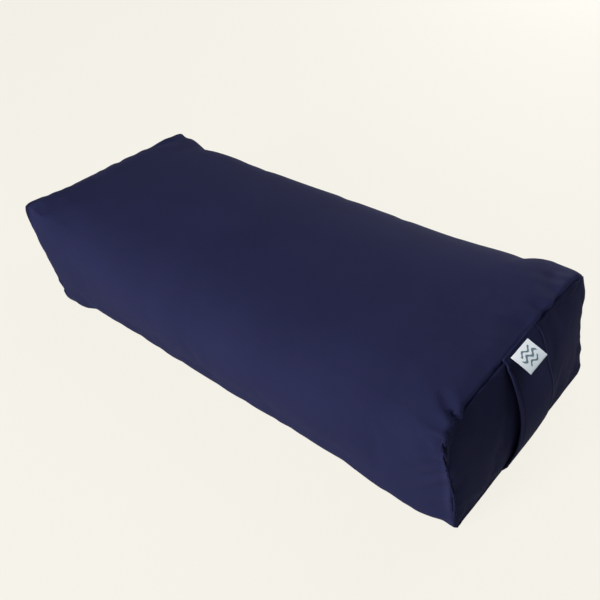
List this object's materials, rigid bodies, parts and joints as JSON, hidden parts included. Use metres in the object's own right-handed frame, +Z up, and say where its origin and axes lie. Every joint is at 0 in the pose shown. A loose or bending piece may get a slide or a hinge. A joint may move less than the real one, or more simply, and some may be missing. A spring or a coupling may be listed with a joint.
{
  "type": "bolster pillow",
  "caption": "Rectangular padded bolster with a zipped canvas cover, a carry strap on one end and a folded label over the strap.",
  "frame": {"origin": "middle of the flat underside, halfway between the two end seams", "axes": "+X along the pillow to the end with the carry strap, +Y to the long side with the zip, +Z up"},
  "size_m": [0.6856, 0.2922, 0.168],
  "materials": {
    "canvas": "matt cotton canvas",
    "zip_tape": "woven polyester tape",
    "zip_nylon": "satin nylon",
    "zip_metal": "enamelled",
    "calico": "unbleached cotton",
    "batting": "loose cotton batting",
    "label_tape": "woven satin tape"
  },
  "bodies": {
    "cover": {"cover_wrap": "canvas", "cover_end_front": "canvas", "cover_end_rear": "canvas", "liner_wrap": "calico", "liner_end_front": "calico", "liner_end_rear": "calico", "batting_blanket": "batting", "batting_layer_1": "batting", "batting_layer_2": "batting", "batting_layer_3": "batting", "batting_layer_4": "batting", "care_label": "label_tape", "zip_tape_upper": "zip_tape", "zip_tape_lower": "zip_tape", "zip_coil_upper": "zip_nylon", "zip_coil_lower": "zip_nylon", "zip_stop_front": "zip_metal", "zip_stop_rear": "zip_metal", "handle_foot": "canvas", "handle_head": "canvas"},
    "handle_span": {"carry_handle": "canvas"},
    "slider": {"zip_slider": "zip_metal"},
    "pull": {"zip_pull": "zip_metal"},
    "label": {"label": "label_tape"}
  },
  "joints": [
    {"name": "handle_lift", "type": "slide", "parent": "cover", "child": "handle_span", "axis": [1, 0, 0], "range_m": [0, 0.018]},
    {"name": "zip_slide", "type": "slide", "parent": "cover", "child": "slider", "axis": [1, 0, 0], "range_m": [0, 0.468]},
    {"name": "pull_swing", "type": "hinge", "parent": "slider", "child": "pull", "pos_m": [-0.234, 0.13424, 0.03171], "axis": [0, 0.1114, 0.9938], "range_deg": [0, 175]},
    {"name": "label_flip", "type": "hinge", "parent": "cover", "child": "label", "pos_m": [0.3265, 0, 0.1665], "axis": [0, -1, 0], "range_deg": [-30, 190], "stiffness_Nm_per_rad": 0.002}
  ]
}
